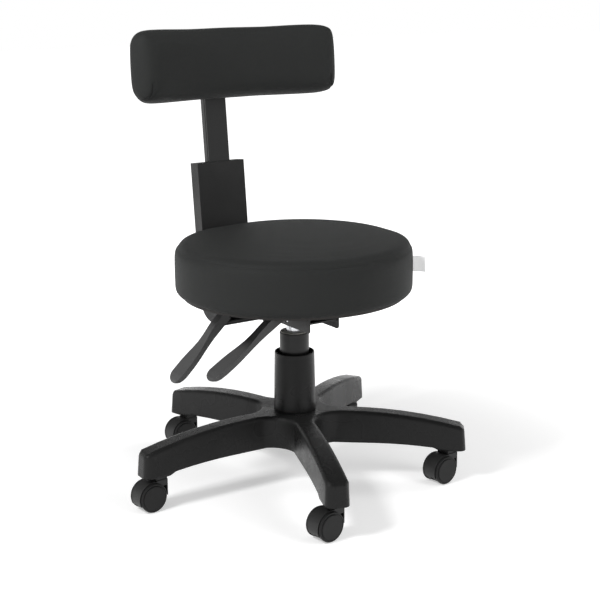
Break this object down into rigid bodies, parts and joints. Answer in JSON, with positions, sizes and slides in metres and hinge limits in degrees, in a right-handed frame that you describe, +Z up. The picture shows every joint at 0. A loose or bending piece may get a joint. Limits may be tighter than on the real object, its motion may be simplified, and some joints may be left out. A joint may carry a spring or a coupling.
{
  "type": "dentist stool",
  "caption": "Working stool with a round padded seat, small curved backrest, gas lift, two hand levers and a star base on casters.",
  "frame": {"origin": "on the floor, on the axis of the column, with the casters' wheels resting at z = 0", "axes": "+Z up along the column, -Y to the front where the sitter faces, +X to the sitter's left"},
  "size_m": [0.5613, 0.5664, 0.7637],
  "materials": {
    "base_plastic": "fine-grained black nylon",
    "sleeve_plastic": "satin black",
    "caster_plastic": "satin black",
    "wheel_plastic": "satin black",
    "cover_plastic": "fine-grained black",
    "lever_plastic": "satin black",
    "bush_plastic": "smooth",
    "black_steel": "satin black paint",
    "post_paint": "satin black paint",
    "zinc": "zinc plated",
    "chrome": "polished",
    "piston": "turned",
    "rubber": "matt",
    "friction": "fibre, matt",
    "board": "plywood",
    "vinyl": "smooth coated fabric, fine grain",
    "tag": "bare white"
  },
  "bodies": {
    "base": {"star_base": "base_plastic", "dust_sleeve": "sleeve_plastic", "column_tube": "black_steel", "guide_bush": "bush_plastic", "caster_stems": "zinc"},
    "column_rod": {"piston_rod": "chrome", "piston_head": "piston", "thrust_bearing": "zinc", "rubber_buffer": "rubber", "retaining_clip": "zinc"},
    "carrier": {"gas_cylinder": "chrome", "rod_guide": "bush_plastic", "mechanism_housing": "black_steel", "taper_socket": "black_steel", "lever_pin": "zinc", "back_pivot_pin": "zinc", "pin_clips": "zinc", "friction_discs": "friction", "clamp_nut": "zinc", "seat_board": "board", "seat_bolts": "zinc", "seat_cushion": "vinyl", "seat_tag": "tag"},
    "valve_button": {"valve_button": "zinc"},
    "height_lever": {"height_lever_arm": "black_steel", "height_lever_handle": "lever_plastic"},
    "tilt_lever": {"tilt_lever_shaft": "black_steel", "tilt_lever_handle": "lever_plastic"},
    "back_arm": {"back_bar": "black_steel", "cover_front": "cover_plastic", "cover_rear": "cover_plastic", "cover_screws": "zinc", "post_guide": "bush_plastic", "height_pawl": "zinc"},
    "backrest": {"back_post": "post_paint", "back_bracket": "black_steel", "bracket_bolts": "zinc", "back_board": "board", "back_screws": "zinc", "back_cushion": "vinyl"},
    "caster_1": {"caster_1_hood": "caster_plastic", "caster_1_axle": "zinc"},
    "caster_1_left": {"caster_1_wheel_left": "wheel_plastic"},
    "caster_1_right": {"caster_1_wheel_right": "wheel_plastic"},
    "caster_2": {"caster_2_hood": "caster_plastic", "caster_2_axle": "zinc"},
    "caster_2_left": {"caster_2_wheel_left": "wheel_plastic"},
    "caster_2_right": {"caster_2_wheel_right": "wheel_plastic"},
    "caster_3": {"caster_3_hood": "caster_plastic", "caster_3_axle": "zinc"},
    "caster_3_left": {"caster_3_wheel_left": "wheel_plastic"},
    "caster_3_right": {"caster_3_wheel_right": "wheel_plastic"},
    "caster_4": {"caster_4_hood": "caster_plastic", "caster_4_axle": "zinc"},
    "caster_4_left": {"caster_4_wheel_left": "wheel_plastic"},
    "caster_4_right": {"caster_4_wheel_right": "wheel_plastic"},
    "caster_5": {"caster_5_hood": "caster_plastic", "caster_5_axle": "zinc"},
    "caster_5_left": {"caster_5_wheel_left": "wheel_plastic"},
    "caster_5_right": {"caster_5_wheel_right": "wheel_plastic"}
  },
  "joints": [
    {"name": "seat_swivel", "type": "hinge", "parent": "base", "child": "column_rod", "pos_m": [0, 0, 0.2615], "axis": [0, 0, 1], "continuous": true},
    {"name": "seat_lift", "type": "slide", "parent": "column_rod", "child": "carrier", "axis": [0, 0, 1], "range_m": [0, 0.13]},
    {"name": "height_lever_turn", "type": "hinge", "parent": "carrier", "child": "height_lever", "pos_m": [-0.022, -0.0225, 0.3055], "axis": [0, 1, 0], "range_deg": [0, 7]},
    {"name": "valve_press", "type": "slide", "parent": "carrier", "child": "valve_button", "axis": [0, 0, 1], "range_m": [-0.0026, 0], "stiffness_N_per_m": 300, "springref_m": 0.003},
    {"name": "tilt_lever_turn", "type": "hinge", "parent": "carrier", "child": "tilt_lever", "pos_m": [0, 0.045, 0.2845], "axis": [1, 0, 0], "range_deg": [0, 45]},
    {"name": "back_tilt", "type": "hinge", "parent": "carrier", "child": "back_arm", "pos_m": [0, 0.085, 0.2995], "axis": [1, 0, 0], "range_deg": [-15, 3]},
    {"name": "back_height", "type": "slide", "parent": "back_arm", "child": "backrest", "axis": [0, 0.0976, 0.9952], "range_m": [-0.055, 0.015]},
    {"name": "caster_1_swivel", "type": "hinge", "parent": "base", "child": "caster_1", "pos_m": [0.21951, 0.14667, 0.0566], "axis": [0, 0, 1], "continuous": true},
    {"name": "caster_1_left_spin", "type": "hinge", "parent": "caster_1", "child": "caster_1_left", "pos_m": [0.20111, 0.14474, 0.0245], "axis": [0.1045, -0.9945, 0], "continuous": true},
    {"name": "caster_1_right_spin", "type": "hinge", "parent": "caster_1", "child": "caster_1_right", "pos_m": [0.20111, 0.14474, 0.0245], "axis": [0.1045, -0.9945, 0], "continuous": true},
    {"name": "caster_2_swivel", "type": "hinge", "parent": "base", "child": "caster_2", "pos_m": [-0.07166, 0.25409, 0.0566], "axis": [0, 0, 1], "continuous": true},
    {"name": "caster_2_left_spin", "type": "hinge", "parent": "caster_2", "child": "caster_2_left", "pos_m": [-0.09006, 0.25215, 0.0245], "axis": [0.1045, -0.9945, 0], "continuous": true},
    {"name": "caster_2_right_spin", "type": "hinge", "parent": "caster_2", "child": "caster_2_right", "pos_m": [-0.09006, 0.25215, 0.0245], "axis": [0.1045, -0.9945, 0], "continuous": true},
    {"name": "caster_3_swivel", "type": "hinge", "parent": "base", "child": "caster_3", "pos_m": [-0.2638, 0.01036, 0.0566], "axis": [0, 0, 1], "continuous": true},
    {"name": "caster_3_left_spin", "type": "hinge", "parent": "caster_3", "child": "caster_3_left", "pos_m": [-0.28219, 0.00843, 0.0245], "axis": [0.1045, -0.9945, 0], "continuous": true},
    {"name": "caster_3_right_spin", "type": "hinge", "parent": "caster_3", "child": "caster_3_right", "pos_m": [-0.28219, 0.00843, 0.0245], "axis": [0.1045, -0.9945, 0], "continuous": true},
    {"name": "caster_4_swivel", "type": "hinge", "parent": "base", "child": "caster_4", "pos_m": [-0.09137, -0.24768, 0.0566], "axis": [0, 0, 1], "continuous": true},
    {"name": "caster_4_left_spin", "type": "hinge", "parent": "caster_4", "child": "caster_4_left", "pos_m": [-0.10977, -0.24962, 0.0245], "axis": [0.1045, -0.9945, 0], "continuous": true},
    {"name": "caster_4_right_spin", "type": "hinge", "parent": "caster_4", "child": "caster_4_right", "pos_m": [-0.10977, -0.24962, 0.0245], "axis": [0.1045, -0.9945, 0], "continuous": true},
    {"name": "caster_5_swivel", "type": "hinge", "parent": "base", "child": "caster_5", "pos_m": [0.20732, -0.16344, 0.0566], "axis": [0, 0, 1], "continuous": true},
    {"name": "caster_5_left_spin", "type": "hinge", "parent": "caster_5", "child": "caster_5_left", "pos_m": [0.18893, -0.16537, 0.0245], "axis": [0.1045, -0.9945, 0], "continuous": true},
    {"name": "caster_5_right_spin", "type": "hinge", "parent": "caster_5", "child": "caster_5_right", "pos_m": [0.18893, -0.16537, 0.0245], "axis": [0.1045, -0.9945, 0], "continuous": true}
  ],
  "couplings": [
    {"joint": "valve_press", "follows": "height_lever_turn", "m_per_rad": -0.02}
  ]
}
